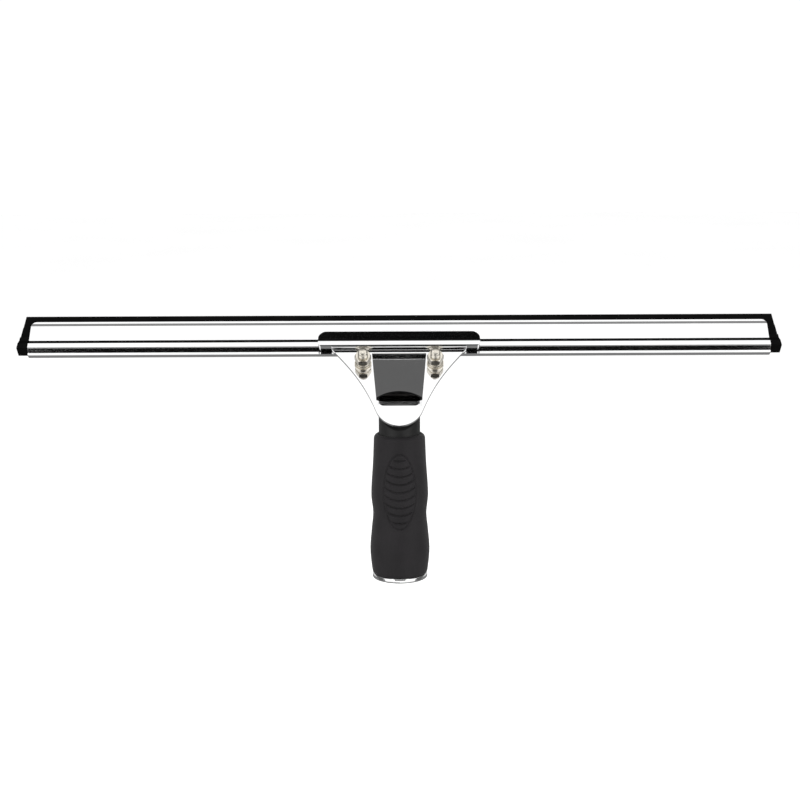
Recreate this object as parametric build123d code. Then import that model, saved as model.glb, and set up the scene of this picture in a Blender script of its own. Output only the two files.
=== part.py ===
from build123d import *
from math import atan2, cos, degrees, radians, sin, sqrt
import os

# A window-cleaning squeegee: a rubber blade in a rolled steel channel, held by a sprung clamp head on a
# rubber-covered handle with a pole socket in its lower end.
# Frame: +Z runs up the handle from the mouth of the pole socket, +X along the blade, -Y faces the user.
# All sizes are in millimetres.

# --- driving dimensions -----------------------------------------------------------------------------
CHANNEL_LENGTH = 436.0
BLADE_TIP_LENGTH = 444.0        # rubber length at its wiping edge
BLADE_ROOT_LENGTH = 449.5       # length at the bottom of the slanted ends
HEAD_LEAN = 45.0                # angle between the clamp head and the handle axis, degrees
HEAD_Y, HEAD_Z = -19.0, 92.8    # lower end of the front jaw, in the handle's frame
SHEET = 1.5                     # thickness of both jaws
GAP = 0.3                       # free space between pieces that move on each other
FAR = 60.0                      # past every face of the head, for cutters

HANDLE_TOP = 86.0               # top of the rubber grip
NECK_TOP = 99.5
NECK_R = 12.0
CORE_R = 13.5
CONE_LOW, CONE_HIGH = 58.0, 62.0    # where the core narrows to the neck
SOCKET_R = 10.8                 # pole socket
SOCKET_DEPTH = 55.0
SOCKET_TUBE_R = 12.2
FLANGE_R = 16.1
FLANGE_HEIGHT = 3.0

# Places along the head, measured from the lower end of the front jaw.
JAW_FOOT = 1.3                  # lower end of the front jaw
WINDOW_LOW = 15.0               # lower edge of the opening under the tongue
TONGUE_END = 16.8               # lower corners of the raised tongue
PIVOT_S = 31.0
STUD_S = 44.5
TONGUE_TOP = 52.0
CHANNEL_S = 53.2                # underside of the channel
BEAD_LOW = 56.5                 # the channel's box-shaped bead
BEAD_HIGH = 60.0
FLAT_LOW = 63.0
CAP_TOP = 65.6                  # upper edge of the end clips' caps
RUBBER_LOW = 65.9
FLAT_TOP = 73.6
MOUTH = 76.0                    # where the channel's bevels meet its narrow mouth
CHANNEL_TOP = 77.3
BLADE_TIP = 82.0
LIP_WALL = 55.2                 # where the front jaw steps up over the bead
FRONT_LIP_END = 68.0
REAR_LIP_END = 71.5

# Heights above the middle of the front jaw's sheet.
CHANNEL_N = -2.6
REAR_N = -7.7
PIVOT_N = -4.4

TONGUE_SINK = -0.9              # the tongue's top face at its upper end
TONGUE_HEIGHT = 6.8             # and at its lower end, before that is cut back
TONGUE_CROWN = 1.2
TONGUE_END_HALF, TONGUE_TOP_HALF = 13.2, 15.9

LIP_HALF = 47.5
FAN_HALF = 39.5
STUD_X = 21.0
PIN_R = 2.0
PIN_PLAY = 0.05                 # play of the front jaw's lugs on the pin
PIN_GROOVE_R = 1.6
EAR_X = 13.0                    # inner faces of the rear jaw's lugs
FRONT_EAR_X = EAR_X + SHEET + GAP
CLIP_X = FRONT_EAR_X + SHEET + GAP
CLIP_T = 0.8
STUD_R = 2.9
JAW_HOLE_R = 3.7                # the stud's hole in the front jaw, wide enough for the jaw to swing
WASHER_HOLE_R = 3.5
SWING_ROOM = 0.4                # both holes sit this far above the stud, because they swing down past it
STUD_TOP = 13.2
SPRING_FOOT_R = 4.1
SPRING_TOP_R = 3.5
SPRING_WIRE = 0.8
NUT_FLATS = 8.4
NUT_LOW, NUT_HIGH = 5.0, 9.2
WASHER_R = 5.0
WASHER_T = 1.0

BEAD_HALF = 4.0
FLAT_HALF = 2.4
MOUTH_HALF = 1.5
FLANGE_HALF = 1.3
CHANNEL_SHEET = 0.8
SLOT_HALF = 1.0
RUBBER_BASE_HALF = 1.2
RUBBER_WEB_HALF = 0.7

TANG_HALF = 8.0
TANG_LENGTH = 42.0
TANG_Y = 1.5
RIVET_HEIGHTS = {"lower": 68.0, "upper": 80.0}
SIDES = {"left": -1, "right": 1}

# The head is drawn flat, with x along the blade, y up the head and z out of its front face, and then
# stood on the handle with this placement.
lean = radians(HEAD_LEAN)
HEAD = Plane(origin=(0, HEAD_Y, HEAD_Z), x_dir=(1, 0, 0), z_dir=(0, -cos(lean), sin(lean)))
SIDE = Plane.YZ                 # section plane: its x is up the head, its y is out of the front face


# --- helpers ----------------------------------------------------------------------------------------
def on_head(shape):
    """Stand a piece that was drawn flat on the leaning head."""
    return HEAD.location * shape


def bent_sheet(corners, radii, half_width):
    """A bent sheet as wide as the lip, from the corners of its side view."""
    path = FilletPolyline(*[(0, s, n) for s, n in corners], radius=radii)
    across = Plane(origin=path @ 0, x_dir=(1, 0, 0), z_dir=path % 0)
    return sweep(across * Rectangle(2 * half_width, SHEET), path=path)


def through(face, low, high):
    """A flat face on the head, as a prism between two heights."""
    return extrude(Plane.XY.offset(low) * face, high - low)


def along_blade(face, start, end):
    """A section of the head, as a prism between two places along the blade."""
    return extrude(SIDE.offset(start) * face, end - start)


def disc(radius, low, high, x=0.0, s=0.0):
    """A round prism that stands on the head."""
    return Pos(x, s, (low + high) / 2) * Cylinder(radius, high - low)


def pin_along_blade(radius, start, end, s, n):
    """A round bar along the blade."""
    return Pos((start + end) / 2, s, n) * Rot(0, 90, 0) * Cylinder(radius, end - start)


def mirrored(face):
    """A half outline on the +X side, with its mirror image."""
    return face + mirror(face, about=Plane.YZ)


def half_fan(lower, flare, lip_end, lip_corner):
    """Half of a jaw's outline: the lower end, the flared sides and the wide lip."""
    wing_corner = 1.5
    fan_end = flare[-1] @ 1
    wing_low = fan_end.Y
    edges = lower + flare + [
        Line(fan_end, (LIP_HALF - wing_corner, wing_low)),
        Line((LIP_HALF - wing_corner, wing_low), (LIP_HALF, wing_low + wing_corner)),
        Line((LIP_HALF, wing_low + wing_corner), (LIP_HALF, lip_end - lip_corner)),
        RadiusArc((LIP_HALF, lip_end - lip_corner), (LIP_HALF - lip_corner, lip_end), -lip_corner),
        Line((LIP_HALF - lip_corner, lip_end), (0, lip_end)),
        Line((0, lip_end), lower[0] @ 0),
    ]
    return make_face(Wire(edges))


# --- blade and channel ------------------------------------------------------------------------------
def slanted_end(half_at_tip, half_at_root):
    """The outline that cuts both ends of the blade on a slant."""
    slope = (half_at_root - half_at_tip) / (BLADE_TIP - CHANNEL_S)
    margin = 2.0
    low, high = CHANNEL_S - margin, BLADE_TIP + margin
    bottom = half_at_root + margin * slope
    top = half_at_tip - margin * slope
    return make_face(Polyline((-bottom, low), (bottom, low), (top, high), (-top, high), close=True))


def blade_cutter():
    return through(slanted_end(BLADE_TIP_LENGTH / 2, BLADE_ROOT_LENGTH / 2), -FAR, FAR)


def bar_section(half, low, high):
    """A rectangle of the channel's section, centred on the channel."""
    return Pos((low + high) / 2, CHANNEL_N) * Rectangle(high - low, 2 * half)


def rubber_blade():
    base_high = FLAT_TOP - 0.2
    base = bar_section(RUBBER_BASE_HALF, RUBBER_LOW, base_high)
    web = bar_section(RUBBER_WEB_HALF, base_high - 1, BLADE_TIP)
    half = BLADE_ROOT_LENGTH / 2
    return along_blade(base + web, -half, half) & blade_cutter()


def bead_section(inset, low):
    """The channel's box-shaped bead with the narrow flange under it, shrunk by an inset."""
    corner_r = 0.5 - inset * 0.3
    top = BEAD_HALF - inset
    shoulder = BEAD_HIGH - inset * 0.3
    neck = FLAT_HALF - inset
    half = Polyline((BEAD_LOW + inset, 0), (BEAD_LOW + inset, top), (shoulder, top), (FLAT_LOW, neck),
                    (FLAT_LOW + 1, neck), (FLAT_LOW + 1, 0), close=True)
    face = make_face(half)
    corners = face.vertices().filter_by(lambda v: v.Y > top - 0.01)
    face = fillet(corners, corner_r)
    face = face + mirror(face, about=Plane.XZ)
    if low < BEAD_LOW:
        face = face + Pos((low + BEAD_LOW + 1) / 2, 0) * Rectangle(BEAD_LOW + 1 - low, 2 * FLANGE_HALF)
    return Pos(0, CHANNEL_N) * face


def channel():
    upper_corner, lower_corner = 3.0, 1.0
    bevel = make_face(Polyline(
        (FLAT_TOP, CHANNEL_N - FLAT_HALF), (MOUTH, CHANNEL_N - MOUTH_HALF),
        (MOUTH, CHANNEL_N + MOUTH_HALF), (FLAT_TOP, CHANNEL_N + FLAT_HALF), close=True))
    outer = bead_section(0, CHANNEL_S) + bar_section(FLAT_HALF, FLAT_LOW, FLAT_TOP) + bevel
    outer += bar_section(MOUTH_HALF, MOUTH, CHANNEL_TOP)
    cavity = bar_section(FLAT_HALF - CHANNEL_SHEET, FLAT_LOW, FLAT_TOP + GAP)
    tube = bead_section(CHANNEL_SHEET, FLAT_LOW)
    slot = bar_section(SLOT_HALF, FLAT_TOP, CHANNEL_TOP + 1)
    half = CHANNEL_LENGTH / 2
    bar = along_blade(outer - cavity - tube - slot, -half, half)
    height = CHANNEL_TOP - CHANNEL_S
    face = Pos(0, CHANNEL_S + height / 2) * Rectangle(CHANNEL_LENGTH, height)
    face = fillet(face.vertices().group_by(Axis.Y)[-1], upper_corner)
    face = fillet(face.vertices().group_by(Axis.Y)[0], lower_corner)
    return bar & through(face, -FAR, FAR)


def end_clip(side):
    """A moulded plug in the channel's tube, with a cap that closes the end."""
    plug_length = 18.0
    start = CHANNEL_LENGTH / 2
    cap_section = bead_section(0, BEAD_LOW) + bar_section(FLAT_HALF, FLAT_LOW, CAP_TOP)
    cap = along_blade(cap_section, start + GAP, BLADE_ROOT_LENGTH / 2)
    plug = along_blade(bead_section(CHANNEL_SHEET + GAP, FLAT_LOW), start - plug_length, start + 1)
    clip = (cap + plug) & blade_cutter()
    return clip if side > 0 else mirror(clip, about=Plane.YZ)


# --- clamp head -------------------------------------------------------------------------------------
def tongue_section(half, base, top, crown, s):
    """The tongue's cross-section at one place up the head: upright sides and a slightly crowned top."""
    shoulder = top - crown
    edges = [Line((half, base), (half, shoulder)),
             ThreePointArc((half, shoulder), (0, top), (-half, shoulder)),
             Line((-half, shoulder), (-half, base)), Line((-half, base), (half, base))]
    return Plane(origin=(0, s, 0), x_dir=(-1, 0, 0), z_dir=(0, 1, 0)) * make_face(Wire(edges))


def tongue_form(base, inset):
    """The tongue as a solid that rises towards its open lower end, shrunk by an inset."""
    lower = tongue_section(TONGUE_END_HALF - inset, base, TONGUE_HEIGHT - inset, TONGUE_CROWN, TONGUE_END)
    flat_crown = TONGUE_CROWN / 12
    upper = tongue_section(TONGUE_TOP_HALF - inset, base, TONGUE_SINK - inset, flat_crown, TONGUE_TOP)
    return loft([lower, upper], ruled=True)


def raised_tongue(jaw):
    """Press the tongue out of the jaw: sunk a little at its top, and raised and open at its lower end."""
    pan_low, pan_wall = 43.5, 0.9
    base = TONGUE_SINK - SHEET
    outline = make_face(Polyline(
        (-TONGUE_END_HALF, TONGUE_END), (TONGUE_END_HALF, TONGUE_END), (TONGUE_TOP_HALF, TONGUE_TOP),
        (-TONGUE_TOP_HALF, TONGUE_TOP), close=True))
    pan_top = TONGUE_TOP + pan_wall
    pan = Pos(0, (pan_low + pan_top) / 2) * Rectangle(2 * (TONGUE_TOP_HALF + pan_wall), pan_top - pan_low)
    shell = tongue_form(base, 0) - tongue_form(base - 4, SHEET)
    below = Pos(0, pan_low / 2) * Rectangle(FAR, pan_low)
    shell -= through(below, base - 1, -SHEET / 2)

    # The lower edge is cut back in an arc, and a window in the plate continues the opening.
    reach, back = TONGUE_END_HALF + 2, TONGUE_END + 5.0
    side = TONGUE_END - 1.2
    arc = ThreePointArc((-reach, side), (0, back), (reach, side))
    cut = make_face(Wire([arc, Line((reach, side), (reach, 0)), Line((reach, 0), (-reach, 0)),
                          Line((-reach, 0), (-reach, side))]))
    shell -= through(cut, SHEET / 2, TONGUE_HEIGHT + 1)
    window_half, window_height, window_corner = 11.5, 7.0, 2.5
    window = Pos(0, WINDOW_LOW + window_height / 2) * Rectangle(2 * window_half, window_height)
    window = fillet(window.vertices().group_by(Axis.Y)[0], window_corner)
    jaw = jaw + through(pan, base, 0) - through(outline, -FAR, FAR) + shell
    return jaw - through(window, -2 * SHEET, SHEET / 2)


def ear(inner, side, low, high):
    """A lug round the pivot, standing between two heights."""
    ear_r = 3.2
    lug = Pos(PIVOT_S, PIVOT_N) * Circle(ear_r)
    stem = Pos(PIVOT_S, (low + high) / 2) * Rectangle(2 * ear_r, high - low)
    start = inner if side > 0 else -inner - SHEET
    return along_blade(lug + stem, start, start + SHEET)


def front_jaw():
    crest, slope_low, slope_high, lip_n = 3.5, 58.6, 67.2, 0.85
    lip = [(0, 0), (LIP_WALL, 0), (LIP_WALL, crest), (slope_low, crest), (slope_high, lip_n + 0.05),
           (FRONT_LIP_END, lip_n)]
    sheet = bent_sheet(lip, [1.0, 1.0, 1.5, 1.0], LIP_HALF + 1)
    tangent_s = 10.4
    tangent_half = 12.9
    lower = [ThreePointArc((0, JAW_FOOT), (9.2, 5.1), (tangent_half, tangent_s))]
    flare = [Bezier((tangent_half, tangent_s), (18.6, 26), (24.5, 37.5), (FAN_HALF, LIP_WALL))]
    outline = mirrored(half_fan(lower, flare, FRONT_LIP_END, 6.5))
    jaw = sheet & through(outline, -FAR, FAR)

    jaw = raised_tongue(jaw)
    for side in SIDES.values():
        jaw += ear(FRONT_EAR_X, side, PIVOT_N, -SHEET / 3)
        jaw -= disc(JAW_HOLE_R, -FAR, FAR, side * STUD_X, STUD_S + SWING_ROOM)
    return jaw - pin_along_blade(PIN_R + PIN_PLAY, -FAR, FAR, PIVOT_S, PIVOT_N)


def rear_jaw():
    bend_s = (TANG_Y - HEAD_Y) / sin(lean) + REAR_N
    tang_end = (bend_s - TANG_LENGTH * cos(lean), REAR_N - TANG_LENGTH * sin(lean))
    lip_n, step_low, step_high = -6.1, 65.6, 68.6
    side_view = [(REAR_LIP_END, lip_n), (step_high, lip_n), (step_low, REAR_N), (bend_s, REAR_N), tang_end]
    sheet = bent_sheet(side_view, [1.5, 1.5, 5.0], LIP_HALF + 1)

    shoulder_low, shoulder_high = 18.5, 35.2
    waist = EAR_X + SHEET
    low = -FAR / 2
    fan_foot = (20.5, 38)
    lower = [Line((0, low), (TANG_HALF, low)), Line((TANG_HALF, low), (TANG_HALF, shoulder_low)),
             Line((TANG_HALF, shoulder_low), (waist, shoulder_low + 2)),
             Line((waist, shoulder_low + 2), (waist, shoulder_high)),
             Line((waist, shoulder_high), fan_foot)]
    flare = [Bezier(fan_foot, (24.5, 43.5), (31, 53), (FAN_HALF - 1.5, 59.5))]
    outline = mirrored(half_fan(lower, flare, REAR_LIP_END, 5.0))
    jaw = sheet & through(outline, -FAR, FAR)

    for side in SIDES.values():
        jaw += ear(EAR_X, side, REAR_N, PIVOT_N)
        jaw -= disc(STUD_R, -FAR, 0, side * STUD_X, STUD_S)
        # A small tab that the channel's underside rests on.
        tab_x, tab_width, tab_t, tab_top = 26.5, 6.0, 1.2, -1.6
        tab = Box(tab_width, tab_t, tab_top - REAR_N)
        jaw += Pos(side * tab_x, CHANNEL_S - GAP - tab_t / 2, (REAR_N + tab_top) / 2) * tab
    return jaw - pin_along_blade(PIN_R, -FAR, FAR, PIVOT_S, PIVOT_N)


def pivot_pin():
    half = CLIP_X + 2 * CLIP_T
    pin = pin_along_blade(PIN_R, -half, half, PIVOT_S, PIVOT_N)
    for side in SIDES.values():
        ring = pin_along_blade(PIN_R + 1, CLIP_X, CLIP_X + CLIP_T, PIVOT_S, PIVOT_N)
        ring -= pin_along_blade(PIN_GROOVE_R, CLIP_X, CLIP_X + CLIP_T, PIVOT_S, PIVOT_N)
        pin -= ring if side > 0 else mirror(ring, about=Plane.YZ)
    return pin


def pin_clip(side):
    clip_r, mouth, depth = 3.4, 2.2, 5.0
    clip = pin_along_blade(clip_r, CLIP_X, CLIP_X + CLIP_T, PIVOT_S, PIVOT_N)
    clip -= pin_along_blade(PIN_GROOVE_R, CLIP_X - 1, CLIP_X + CLIP_T + 1, PIVOT_S, PIVOT_N)
    clip -= Pos(CLIP_X, PIVOT_S, PIVOT_N - depth / 2) * Box(3 * CLIP_T, mouth, depth)
    return clip if side > 0 else mirror(clip, about=Plane.YZ)


def clamp_stud(side):
    head_r, head_t, lead = 4.0, 1.2, 0.6
    x = side * STUD_X
    back = REAR_N - SHEET / 2
    shank = disc(STUD_R, back, STUD_TOP, x, STUD_S)
    shank = chamfer(shank.edges().group_by(Axis.Z)[-1], lead)
    return shank + disc(head_r, back - head_t, back, x, STUD_S)


def clamp_nut(side):
    corner_r = NUT_FLATS / sqrt(3)
    chamfer_h = 0.5
    prism = extrude(RegularPolygon(corner_r, 6), NUT_HIGH - NUT_LOW)
    height = NUT_HIGH - NUT_LOW
    rim = NUT_FLATS / 2
    turned = revolve(Plane.XZ * make_face(Polyline(
        (0, 0), (rim, 0), (corner_r, chamfer_h), (corner_r, height - chamfer_h), (rim, height),
        (0, height), close=True)), Axis.Z)
    nut = (prism & turned) - Cylinder(STUD_R, 3 * height)
    return Pos(side * STUD_X, STUD_S, NUT_LOW) * nut


def clamp_spring(side):
    low = SHEET / 2 + WASHER_T + GAP
    high = NUT_LOW
    turns = 2.25
    height = high - low - SPRING_WIRE
    taper = degrees(atan2(SPRING_TOP_R - SPRING_FOOT_R, height))
    coil = Helix(pitch=height / turns, height=height, radius=SPRING_FOOT_R, cone_angle=taper)
    wire = sweep(Plane(origin=coil @ 0, z_dir=coil % 0) * Circle(SPRING_WIRE / 2), path=coil)
    return Pos(side * STUD_X, STUD_S, low + SPRING_WIRE / 2) * wire


def spring_washer(side):
    low = SHEET / 2
    washer = disc(WASHER_R, low, low + WASHER_T, side * STUD_X, STUD_S)
    return washer - disc(WASHER_HOLE_R, 0, FAR, side * STUD_X, STUD_S + SWING_ROOM)


# --- handle -----------------------------------------------------------------------------------------
def rivet(height):
    shank_r, head_r, head_t, reach = 1.9, 3.4, 1.5, 11.0
    shank = Pos(0, 0, height) * Rot(90, 0, 0) * Cylinder(shank_r, 2 * reach)
    for side in SIDES.values():
        y = side * (reach - head_t / 2)
        shank += Pos(0, y, height) * Rot(90, 0, 0) * Cylinder(head_r, head_t)
    return shank


def handle_core(tang):
    rim_r, thumb_n = 1.5, -7.0
    half_view = Polyline((0, SOCKET_DEPTH), (SOCKET_TUBE_R, SOCKET_DEPTH), (SOCKET_TUBE_R, FLANGE_HEIGHT),
                         (CORE_R, FLANGE_HEIGHT), (CORE_R, CONE_LOW), (NECK_R, CONE_HIGH),
                         (NECK_R, NECK_TOP), (0, NECK_TOP), close=True)
    core = revolve(Plane.XZ * make_face(half_view), Axis.Z)
    core = fillet(core.edges().group_by(Axis.Z)[-1], rim_r)
    # The front of the neck is cut away under the thumb end of the front jaw.
    thumb_room = on_head(Pos(0, 0, thumb_n + FAR / 2) * Box(FAR, 4 * FAR, FAR))
    core = core - thumb_room - tang
    for height in RIVET_HEIGHTS.values():
        core -= rivet(height)
    return core


def grip_sleeve():
    # Radii of the grip from its lower end up: palm swell, waist, finger swell and slim top.
    round_r, foot_r = 2.7, 15.4
    palm = [(16.0, FLANGE_HEIGHT + 1.5), (17.4, 17.0), (15.6, 39.0), (16.7, 50.0), (15.4, 70.0),
            (14.9, HANDLE_TOP - round_r)]
    rim_end = (palm[-1][0] - round_r, HANDLE_TOP)
    foot = (foot_r, FLANGE_HEIGHT)
    edges = [Line(foot, palm[0]), Spline(*palm), RadiusArc(palm[-1], rim_end, -round_r),
             Line(rim_end, (NECK_R, HANDLE_TOP)), Line((NECK_R, HANDLE_TOP), (NECK_R, CONE_HIGH)),
             Line((NECK_R, CONE_HIGH), (CORE_R, CONE_LOW)),
             Line((CORE_R, CONE_LOW), (CORE_R, FLANGE_HEIGHT)), Line((CORE_R, FLANGE_HEIGHT), foot)]
    return revolve(Plane.XZ * make_face(Wire(edges)), Axis.Z)


def socket_ferrule():
    flange = Pos(0, 0, FLANGE_HEIGHT / 2) * Cylinder(FLANGE_R, FLANGE_HEIGHT)
    flange = fillet(flange.edges().filter_by(GeomType.CIRCLE), 1.0)
    tube = Pos(0, 0, SOCKET_DEPTH / 2) * Cylinder(SOCKET_TUBE_R, SOCKET_DEPTH)
    return flange + tube - Pos(0, 0, SOCKET_DEPTH / 2) * Cylinder(SOCKET_R, SOCKET_DEPTH + 2)


# --- all pieces -------------------------------------------------------------------------------------
def build():
    pieces = {
        "rubber_blade": on_head(rubber_blade()),
        "channel": on_head(channel()),
        "front_jaw": on_head(front_jaw()),
        "rear_jaw": on_head(rear_jaw()),
        "pivot_pin": on_head(pivot_pin()),
    }
    for name, side in SIDES.items():
        pieces["end_clip_" + name] = on_head(end_clip(side))
        pieces["pin_clip_" + name] = on_head(pin_clip(side))
        pieces["clamp_stud_" + name] = on_head(clamp_stud(side))
        pieces["clamp_nut_" + name] = on_head(clamp_nut(side))
        pieces["clamp_spring_" + name] = on_head(clamp_spring(side))
        pieces["spring_washer_" + name] = on_head(spring_washer(side))
    tang = pieces["rear_jaw"]
    for name, height in RIVET_HEIGHTS.items():
        pieces["tang_rivet_" + name] = rivet(height)
        tang -= rivet(height)
    pieces["rear_jaw"] = tang
    pieces["handle_core"] = handle_core(tang)
    pieces["grip_sleeve"] = grip_sleeve()
    pieces["socket_ferrule"] = socket_ferrule()
    return pieces


os.makedirs("parts", exist_ok=True)
for node, shape in build().items():
    export_step(shape, "parts/" + node + ".step")
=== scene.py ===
import math

import bmesh
import bpy
from mathutils import Matrix, Vector


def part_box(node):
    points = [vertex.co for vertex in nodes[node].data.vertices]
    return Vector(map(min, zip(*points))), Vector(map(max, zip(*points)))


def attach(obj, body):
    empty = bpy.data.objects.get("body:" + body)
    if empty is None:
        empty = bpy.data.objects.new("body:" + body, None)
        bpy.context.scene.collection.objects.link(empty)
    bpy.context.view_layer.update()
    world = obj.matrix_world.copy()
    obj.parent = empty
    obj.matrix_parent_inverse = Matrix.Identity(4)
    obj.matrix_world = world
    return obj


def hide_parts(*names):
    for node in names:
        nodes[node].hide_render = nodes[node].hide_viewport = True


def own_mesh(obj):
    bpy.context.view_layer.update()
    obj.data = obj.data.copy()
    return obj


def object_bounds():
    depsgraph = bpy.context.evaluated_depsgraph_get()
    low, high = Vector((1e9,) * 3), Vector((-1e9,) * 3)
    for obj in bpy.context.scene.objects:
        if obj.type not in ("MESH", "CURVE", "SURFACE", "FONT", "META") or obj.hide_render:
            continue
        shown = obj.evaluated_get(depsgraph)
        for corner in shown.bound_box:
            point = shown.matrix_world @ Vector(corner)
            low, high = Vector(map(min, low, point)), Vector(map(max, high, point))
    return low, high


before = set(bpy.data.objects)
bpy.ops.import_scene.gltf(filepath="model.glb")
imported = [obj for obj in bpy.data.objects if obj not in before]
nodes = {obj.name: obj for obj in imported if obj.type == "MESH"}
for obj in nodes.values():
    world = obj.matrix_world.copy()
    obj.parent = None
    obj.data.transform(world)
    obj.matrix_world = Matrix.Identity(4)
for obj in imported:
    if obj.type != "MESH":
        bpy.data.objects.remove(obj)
cad_low, cad_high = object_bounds()

MM = 0.001
SIDES = ("left", "right")
TURN = 2 * math.pi
ACROSS = Vector((1, 0, 0))

# --- the clamp head's own frame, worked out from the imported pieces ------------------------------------
LEAN = math.radians(45)
UP_HEAD = Vector((0, math.sin(LEAN), math.cos(LEAN)))
OUT_HEAD = Vector((0, -math.cos(LEAN), math.sin(LEAN)))


def centre(node):
    low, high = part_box(node)
    return (Vector(low) + Vector(high)) / 2


def along(node, direction):
    """The lowest and highest place of a node's mesh along a direction."""
    places = [v.co.dot(direction) for v in nodes[node].data.vertices]
    return min(places), max(places)


# --- materials ----------------------------------------------------------------------------------------
MARK_DEPTH = 0.00002
MARK_STRENGTH = 0.06
GRAIN_STRENGTH = 0.8
SHARP_EDGE = math.radians(40)


def new_material(name):
    material = bpy.data.materials.new(name)
    material.use_nodes = True
    tree = material.node_tree
    return material, tree, tree.nodes["Principled BSDF"]


def noise(tree, scale, detail=4.0, stretch=(1, 1, 1)):
    """Noise in the object's own coordinates, in features per metre, stretched along its axes."""
    coords = tree.nodes.new("ShaderNodeTexCoord")
    mapping = tree.nodes.new("ShaderNodeMapping")
    mapping.inputs["Scale"].default_value = stretch
    texture = tree.nodes.new("ShaderNodeTexNoise")
    texture.inputs["Scale"].default_value = scale
    texture.inputs["Detail"].default_value = detail
    tree.links.new(coords.outputs["Object"], mapping.inputs["Vector"])
    tree.links.new(mapping.outputs["Vector"], texture.inputs["Vector"])
    return texture.outputs["Fac"]


def spread(tree, value, low, high, dark=0.3, light=0.7):
    """Map the middle of a noise onto a range."""
    node = tree.nodes.new("ShaderNodeMapRange")
    node.inputs["From Min"].default_value = dark
    node.inputs["From Max"].default_value = light
    node.inputs["To Min"].default_value = low
    node.inputs["To Max"].default_value = high
    tree.links.new(value, node.inputs["Value"])
    return node.outputs["Result"]


def tint(tree, value, dark, light):
    """A colour between two, by a noise."""
    ramp = tree.nodes.new("ShaderNodeValToRGB")
    ramp.color_ramp.elements[0].position = 0.3
    ramp.color_ramp.elements[0].color = (*dark, 1)
    ramp.color_ramp.elements[1].position = 0.7
    ramp.color_ramp.elements[1].color = (*light, 1)
    tree.links.new(value, ramp.inputs["Fac"])
    return ramp.outputs["Color"]


def bump(tree, shader, height, distance, strength):
    node = tree.nodes.new("ShaderNodeBump")
    node.inputs["Distance"].default_value = distance
    node.inputs["Strength"].default_value = strength
    tree.links.new(height, node.inputs["Height"])
    tree.links.new(node.outputs["Normal"], shader.inputs["Normal"])


def metal(name, dark, light, rough_low, rough_high, stretch):
    """Polished metal: fine rolling marks, and handling that clouds it a little."""
    material, tree, shader = new_material(name)
    shader.inputs["Metallic"].default_value = 1.0
    clouds = noise(tree, 45, 5.0)
    marks = noise(tree, 900, 6.0, stretch)
    tree.links.new(tint(tree, clouds, dark, light), shader.inputs["Base Color"])
    tree.links.new(spread(tree, marks, rough_low, rough_high), shader.inputs["Roughness"])
    bump(tree, shader, marks, MARK_DEPTH, MARK_STRENGTH)
    return material


def rubber(name, dark, light, rough_low, rough_high, grain, depth, sheen, gloss):
    """Rubber or plastic: a fine moulded grain and faint dusty patches."""
    material, tree, shader = new_material(name)
    shader.inputs["Specular IOR Level"].default_value = gloss
    shader.inputs["Sheen Weight"].default_value = sheen
    shader.inputs["Sheen Roughness"].default_value = 0.5
    clouds = noise(tree, 70, 5.0)
    fine = noise(tree, grain, 3.0)
    tree.links.new(tint(tree, clouds, dark, light), shader.inputs["Base Color"])
    tree.links.new(spread(tree, clouds, rough_low, rough_high), shader.inputs["Roughness"])
    bump(tree, shader, fine, depth, GRAIN_STRENGTH)
    return material


ALONG_BLADE = (0.03, 1, 1)
steel = metal("polished_steel", (0.84, 0.84, 0.845), (0.90, 0.90, 0.90), 0.045, 0.10, ALONG_BLADE)
chrome = metal("bright_chrome", (0.86, 0.86, 0.865), (0.91, 0.91, 0.91), 0.03, 0.07, (1, 1, 1))
nickel = metal("warm_nickel", (0.84, 0.79, 0.69), (0.92, 0.88, 0.79), 0.26, 0.36, (1, 1, 1))
dark_steel = metal("blackened_steel", (0.045, 0.043, 0.042), (0.07, 0.068, 0.066), 0.30, 0.45, (1, 1, 1))
blade_black = rubber("blade_rubber", (0.001, 0.001, 0.001), (0.003, 0.003, 0.003), 0.45, 0.60,
                     2500, 0.00003, 0.0, 0.04)
grip_black = rubber("grip_rubber", (0.0085, 0.0075, 0.0085), (0.013, 0.0115, 0.013), 0.50, 0.66,
                    3200, 0.0001, 0.05, 0.25)
plastic = rubber("black_plastic", (0.001, 0.001, 0.001), (0.003, 0.003, 0.003), 0.35, 0.50,
                 1800, 0.00002, 0.0, 0.05)
core_plastic = rubber("core_plastic", (0.010, 0.010, 0.010), (0.016, 0.016, 0.016), 0.35, 0.50,
                      1800, 0.00002, 0.0, 0.25)


def finish(piece, material, edge=0.0, segments=2):
    """Give a piece its material, and soften its sharp edges."""
    piece.data.materials.clear()
    piece.data.materials.append(material)
    if edge:
        modifier = piece.modifiers.new("soft_edges", "BEVEL")
        modifier.width = edge
        modifier.segments = segments
        modifier.limit_method = "ANGLE"
        modifier.angle_limit = SHARP_EDGE
        modifier.harden_normals = True


# --- mesh helpers -------------------------------------------------------------------------------------
def new_piece(name, bm, smooth=True):
    mesh = bpy.data.meshes.new(name)
    bmesh.ops.recalc_face_normals(bm, faces=bm.faces[:])
    bm.to_mesh(mesh)
    bm.free()
    piece = bpy.data.objects.new(name, mesh)
    bpy.context.collection.objects.link(piece)
    for face in mesh.polygons:
        face.use_smooth = smooth
    return piece


def grid_faces(bm, rings, wrap_rings=False):
    """Join rings of vertices, each closed on itself, into a skin."""
    count = len(rings)
    for i in range(count if wrap_rings else count - 1):
        here, after = rings[i], rings[(i + 1) % count]
        for j in range(len(here)):
            k = (j + 1) % len(here)
            bm.faces.new((here[j], here[k], after[k], after[j]))


def cap(bm, ring, middle):
    """Close a ring with a fan of triangles round a middle point."""
    hub = bm.verts.new(middle)
    for j in range(len(ring)):
        bm.faces.new((ring[j], ring[(j + 1) % len(ring)], hub))


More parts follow.
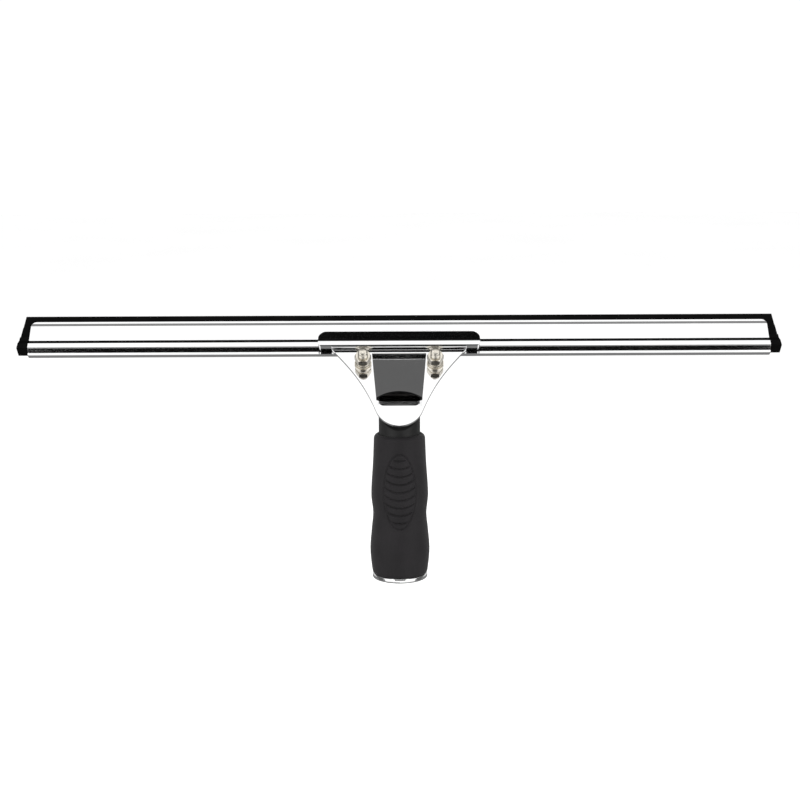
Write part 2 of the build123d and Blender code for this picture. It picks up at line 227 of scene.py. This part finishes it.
# --- clamp studs with a rolled thread -----------------------------------------------------------------
def threaded_stud(side):
    """A stud whose upper part carries a thread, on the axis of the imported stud."""
    node = "clamp_stud_" + side
    middle = centre("clamp_nut_" + side)
    low, high = along(node, OUT_HEAD)
    base = middle - OUT_HEAD * middle.dot(OUT_HEAD)
    radius, root, pitch = 2.88 * MM, 2.45 * MM, 1.0 * MM
    head_r, head_t = 3.9 * MM, 1.2 * MM
    thread_low = low + 8 * MM
    steps, rings_per_pitch = 48, 10
    bm = bmesh.new()
    rings = []

    def ring(height, size_at):
        points = []
        for j in range(steps):
            angle = TURN * j / steps
            spot = ACROSS * math.cos(angle) + UP_HEAD * math.sin(angle)
            points.append(bm.verts.new(base + OUT_HEAD * height + spot * size_at(angle, height)))
        rings.append(points)

    def crest(angle, height):
        """The thread's radius: a rounded ridge that climbs one pitch a turn and fades out at both ends."""
        phase = (height - thread_low) / pitch - angle / TURN
        ridge = 0.5 + 0.5 * math.cos(TURN * phase)
        begun = max(0.0, (height - thread_low) / pitch)
        to_go = max(0.0, (high - 0.5 * MM - height) / pitch)
        fade = min(1.0, begun, to_go)
        return radius - (radius - root) * ridge * fade

    ring(low, lambda a, h: head_r - 0.4 * MM)
    ring(low + 0.3 * MM, lambda a, h: head_r)
    ring(low + head_t - 0.2 * MM, lambda a, h: head_r)
    ring(low + head_t, lambda a, h: head_r - 0.2 * MM)
    ring(low + head_t, lambda a, h: radius)
    ring(thread_low, lambda a, h: radius)
    count = int((high - 0.6 * MM - thread_low) / (pitch / rings_per_pitch))
    for i in range(1, count + 1):
        ring(thread_low + i * pitch / rings_per_pitch, crest)
    ring(high - 0.55 * MM, lambda a, h: radius)
    ring(high - 0.15 * MM, lambda a, h: radius - 0.45 * MM)
    ring(high, lambda a, h: radius - 0.75 * MM)
    grid_faces(bm, rings)
    cap(bm, rings[0], base + OUT_HEAD * low)
    cap(bm, rings[-1], base + OUT_HEAD * high)
    piece = new_piece("threaded_stud_" + side, bm)
    finish(piece, nickel)
    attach(piece, "handle")
    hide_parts(node)


# --- clamp springs ------------------------------------------------------------------------------------
def clamp_spring(side):
    """A conical coil, wide on the washer and narrow under the nut."""
    node = "clamp_spring_" + side
    middle = centre("clamp_nut_" + side)
    base = middle - OUT_HEAD * middle.dot(OUT_HEAD)
    washer_top = along("spring_washer_" + side, OUT_HEAD)[1]
    nut_low = along("clamp_nut_" + side, OUT_HEAD)[0]
    wire = 0.4 * MM
    foot_r, top_r = 4.2 * MM, 3.6 * MM
    low, high = washer_top + wire, nut_low - wire
    turns, steps, around = 3.2, 72, 12
    flat_turns, flat_climb = 0.8, 0.06
    bm = bmesh.new()
    rings = []
    total = int(turns * steps)
    for i in range(total + 1):
        share = i / total
        turned = share * turns
        # The first and last turns lie nearly flat.
        middle_climb = min(1.0, max(0.0, (turned - flat_turns) / (turns - 2 * flat_turns)))
        climb = (flat_climb * min(turned, 1) + (1 - 2 * flat_climb) * middle_climb
                 + flat_climb * max(0.0, turned - turns + 1))
        angle = TURN * turned
        out = ACROSS * math.cos(angle) + UP_HEAD * math.sin(angle)
        spot = base + OUT_HEAD * (low + (high - low) * climb) + out * (foot_r + (top_r - foot_r) * climb)
        ring = []
        for j in range(around):
            a = TURN * j / around
            ring.append(bm.verts.new(spot + out * wire * math.cos(a) + OUT_HEAD * wire * math.sin(a)))
        rings.append(ring)
    grid_faces(bm, rings)
    for ring in (rings[0], rings[-1]):
        cap(bm, ring, sum((v.co for v in ring), Vector()) / around)
    piece = new_piece("coil_spring_" + side, bm)
    finish(piece, nickel)
    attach(piece, "handle")
    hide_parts(node)
    # The coil can't tilt with its washer, so it shortens more than a real spring would, to clear the edge.
    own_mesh(piece)


# --- grip ---------------------------------------------------------------------------------------------
def smooth_curve(points, share):
    """A smooth line through (place, value) pairs, read at one place."""
    for i in range(len(points) - 1):
        (a, va), (b, vb) = points[i], points[i + 1]
        if a <= share <= b:
            before = points[max(i - 1, 0)]
            after = points[min(i + 2, len(points) - 1)]
            slope_a = (vb - before[1]) / (b - before[0])
            slope_b = (after[1] - va) / (after[0] - a)
            t = (share - a) / (b - a)
            h = b - a
            return ((2 * t ** 3 - 3 * t ** 2 + 1) * va + (t ** 3 - 2 * t ** 2 + t) * h * slope_a
                    + (3 * t ** 2 - 2 * t ** 3) * vb + (t ** 3 - t ** 2) * h * slope_b)
    return points[-1][1]


def grip():
    """The rubber sleeve: palm and finger swells, a waist, and shallow grooves on its front and back."""
    low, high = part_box("grip_sleeve")
    foot, top = low[2], high[2]
    shoulder_r = 2.7 * MM
    outline = [(foot, 15.5 * MM), (foot + 1.5 * MM, 16.2 * MM), (foot + 14 * MM, 17.35 * MM),
               (foot + 26 * MM, 16.5 * MM), (foot + 36 * MM, 15.6 * MM), (foot + 47 * MM, 16.6 * MM),
               (foot + 67 * MM, 15.45 * MM), (top - shoulder_r, 14.9 * MM)]
    around, rows, shoulder_steps = 224, 300, 10
    lowest_row = 0.3 * MM
    groove_pitch, groove_depth = 4.6 * MM, 0.9 * MM
    field_z, field_half, field_wide = foot + 51 * MM, 22 * MM, 0.62
    field_fade, rim_share, rim_width = 0.12, 0.8, 0.03
    bow = 9 * MM

    def groove(angle, z):
        """Depth of the grooves inside an oval field on the front and on the back."""
        from_front = abs(math.remainder(angle + math.pi / 2, math.pi))
        reach = math.hypot(from_front / field_wide, (z - field_z) / field_half)
        inside = min(1.0, max(0.0, (1.0 - reach) / field_fade))
        bowed = z - field_z - bow * from_front ** 2
        wave = max(0.0, math.cos(TURN * bowed / groove_pitch)) ** 3
        rim = math.exp(-((reach - 1.0) / rim_width) ** 2)
        return groove_depth * (inside * wave + rim_share * rim)

    bm = bmesh.new()
    rings = []

    def ring(z, radius, carved=False):
        points = []
        for j in range(around):
            a = TURN * j / around
            r = radius - (groove(a, z) if carved else 0)
            points.append(bm.verts.new((r * math.cos(a), r * math.sin(a), z)))
        rings.append(points)

    core_r, neck_r = 13.55 * MM, 12.05 * MM
    ring(foot, core_r)
    ring(foot, 15.1 * MM)
    ring(foot + 0.12 * MM, 15.4 * MM)
    for i in range(1, rows + 1):
        z = foot + lowest_row + (top - shoulder_r - foot - lowest_row) * i / rows
        ring(z, smooth_curve(outline, z), carved=True)
    shoulder = outline[-1][1]
    for i in range(1, shoulder_steps + 1):
        a = math.pi / 2 * i / shoulder_steps
        ring(top - shoulder_r + shoulder_r * math.sin(a), shoulder - shoulder_r * (1 - math.cos(a)))
    # The rubber's upper face sinks a little towards the neck.
    ring(top - 0.05 * MM, neck_r + 0.4 * MM)
    ring(top - 0.35 * MM, neck_r)
    ring(foot + 59 * MM, neck_r)
    ring(foot + 55 * MM, core_r)
    grid_faces(bm, rings, wrap_rings=True)
    piece = new_piece("rubber_grip", bm)
    finish(piece, grip_black)
    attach(piece, "handle")
    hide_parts("grip_sleeve")


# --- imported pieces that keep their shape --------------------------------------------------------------
def dress_packed():
    finish(nodes["channel"], steel, 0.35 * MM, 3)
    finish(nodes["front_jaw"], steel, 0.45 * MM, 4)
    finish(nodes["rear_jaw"], steel, 0.3 * MM, 3)
    finish(nodes["rubber_blade"], blade_black, 0.12 * MM)
    finish(nodes["handle_core"], core_plastic, 0.3 * MM)
    finish(nodes["socket_ferrule"], chrome, 0.2 * MM)
    finish(nodes["pivot_pin"], dark_steel, 0.25 * MM)
    for name in ("upper", "lower"):
        finish(nodes["tang_rivet_" + name], nickel, 0.2 * MM)
    for name in SIDES:
        finish(nodes["end_clip_" + name], plastic, 0.3 * MM)
        finish(nodes["pin_clip_" + name], nickel, 0.15 * MM)
        finish(nodes["clamp_nut_" + name], nickel, 0.2 * MM, 3)
        finish(nodes["spring_washer_" + name], nickel, 0.2 * MM, 3)


# --- studio -------------------------------------------------------------------------------------------
def emission(name, colour, strength):
    material = bpy.data.materials.new(name)
    material.use_nodes = True
    tree = material.node_tree
    tree.nodes.clear()
    light = tree.nodes.new("ShaderNodeEmission")
    light.inputs["Color"].default_value = (*colour, 1)
    light.inputs["Strength"].default_value = strength
    out = tree.nodes.new("ShaderNodeOutputMaterial")
    tree.links.new(light.outputs[0], out.inputs["Surface"])
    return material


STUDIO_RADIUS = 1.6
STUDIO_HALF = 4.0
PANEL_STEPS = 12
# Half widths of the panels in front of and behind the head, above it, and behind its lip.
NEAR, OVERHEAD, LIP = 0.62, 0.75, 0.30
WHITE, PALE, MID, GREY, DIM = 1.15, 0.70, 0.28, 0.127, 0.10


def reflection_panel(name, tilt_low, tilt_high, brightness, x_low=-STUDIO_HALF, x_high=STUDIO_HALF):
    """A curved panel round the X axis that only reflections see. Tilt is from straight up towards +Y."""
    middle = (Vector(cad_low) + Vector(cad_high)) / 2
    bm = bmesh.new()
    edge = []
    for i in range(PANEL_STEPS + 1):
        tilt = math.radians(tilt_low + (tilt_high - tilt_low) * i / PANEL_STEPS)
        spot = middle + STUDIO_RADIUS * Vector((0, math.sin(tilt), math.cos(tilt)))
        edge.append([bm.verts.new(spot + Vector((x, 0, 0))) for x in (x_low, x_high)])
    for a, b in zip(edge, edge[1:]):
        bm.faces.new((a[0], a[1], b[1], b[0]))
    show_to_reflections(new_piece(name, bm), name, brightness)


def end_panel(name, x, brightness):
    """A flat panel that closes one end of the ring of panels."""
    bm = bmesh.new()
    size = STUDIO_RADIUS * 1.1
    bm.faces.new([bm.verts.new((x, a * size, b * size)) for a, b in ((-1, -1), (1, -1), (1, 1), (-1, 1))])
    show_to_reflections(new_piece(name, bm), name, brightness)


def show_to_reflections(panel, name, brightness):
    finish(panel, emission(name, (1, 1, 1), brightness))
    panel.visible_camera = False
    panel.visible_diffuse = False
    panel.visible_shadow = False
    panel.visible_transmission = False


def studio():
    """Panels laid out for the front view: white over the flats, grey and black round them."""
    reflection_panel("panel_front_floor", -128, -106.5, WHITE)
    reflection_panel("panel_front_low", -106.5, -66, 0.006, -NEAR, NEAR)
    reflection_panel("panel_front_mid", -66, -54, 0.06, -NEAR, NEAR)
    reflection_panel("panel_front_high", -54, -26, 0.135, -NEAR, NEAR)
    reflection_panel("panel_overhead", -26, 0, 1.25, -OVERHEAD, OVERHEAD)
    reflection_panel("panel_tongue", 0, 19.5, GREY, -OVERHEAD, OVERHEAD)
    reflection_panel("panel_back_high", 19.5, 28.5, 0.004, -LIP, LIP)
    reflection_panel("panel_back_strip", 28.5, 37, MID, -NEAR, NEAR)
    reflection_panel("panel_back_mid", 37, 62, 0.008, -NEAR, NEAR)
    outer_panels = (("panel_front_", -106.5, -26, 1.25, NEAR), ("panel_back_", 28.5, 62, GREY, NEAR),
                    ("panel_overhead_", -26, 19.5, DIM, OVERHEAD), ("panel_back_high_", 19.5, 28.5, GREY, LIP))
    for name, low, high, brightness, inner in outer_panels:
        reflection_panel(name + "left", low, high, brightness, -STUDIO_HALF, -inner)
        reflection_panel(name + "right", low, high, brightness, inner, STUDIO_HALF)
    reflection_panel("panel_back_low", 62, 100, PALE)
    reflection_panel("panel_below", 100, 232, 0.22)
    end_panel("panel_left", -STUDIO_HALF, 0.12)
    end_panel("panel_right", STUDIO_HALF, 0.12)

    world = bpy.data.worlds.new("white_studio")
    world.use_nodes = True
    background = world.node_tree.nodes["Background"]
    background.inputs["Color"].default_value = (1, 1, 1, 1)
    background.inputs["Strength"].default_value = 1.06
    bpy.context.scene.world = world

    bm = bmesh.new()
    size = 6.0
    floor_z = cad_low[2] - 0.25
    corners = ((-1, -1), (1, -1), (1, 1), (-1, 1))
    bm.faces.new([bm.verts.new((x * size, y * size, floor_z)) for x, y in corners])
    floor = new_piece("floor", bm, smooth=False)
    pale, tree, shader = new_material("pale_floor")
    tree.links.new(tint(tree, noise(tree, 3, 2.0), (0.93, 0.93, 0.93), (0.95, 0.95, 0.95)),
                   shader.inputs["Base Color"])
    shader.inputs["Roughness"].default_value = 0.9
    finish(floor, pale)
    floor.visible_glossy = False

    head_middle = Vector((0, 0, 0.08))
    lamps = (("key", (-0.7, -0.9, 1.3), 14, 0.8), ("fill", (1.1, -0.7, 0.9), 6, 1.0),
             ("rim", (0.6, 1.1, 1.0), 7, 0.8))
    for name, spot, energy, size in lamps:
        lamp = bpy.data.lights.new(name, "AREA")
        lamp.energy = energy
        lamp.size = size
        light = bpy.data.objects.new(name, lamp)
        light.location = spot
        light.rotation_euler = (head_middle - Vector(spot)).to_track_quat("-Z", "Y").to_euler()
        light.visible_glossy = False
        bpy.context.collection.objects.link(light)


def camera():
    """A long lens a metre in front, a little above the head and turned a fraction of a degree."""
    elevation, roll, distance = math.radians(10.65), math.radians(-0.25), 1.0
    target = Vector((0.0004, 0.010, 0.1037))
    forward = Vector((0, math.cos(elevation), -math.sin(elevation)))
    level = ACROSS.cross(forward)
    right = ACROSS * math.cos(roll) + level * math.sin(roll)
    up = level * math.cos(roll) - ACROSS * math.sin(roll)
    data = bpy.data.cameras.new("camera")
    data.sensor_width = 36
    data.lens = 77.1
    view = bpy.data.objects.new("camera", data)
    turn = Matrix((right, up, -forward)).transposed().to_4x4()
    view.matrix_world = Matrix.Translation(target - forward * distance) @ turn
    bpy.context.collection.objects.link(view)
    bpy.context.scene.camera = view
    bpy.context.scene.view_settings.view_transform = "Standard"


dress_packed()
for name in SIDES:
    threaded_stud(name)
    clamp_spring(name)
grip()
studio()
camera()
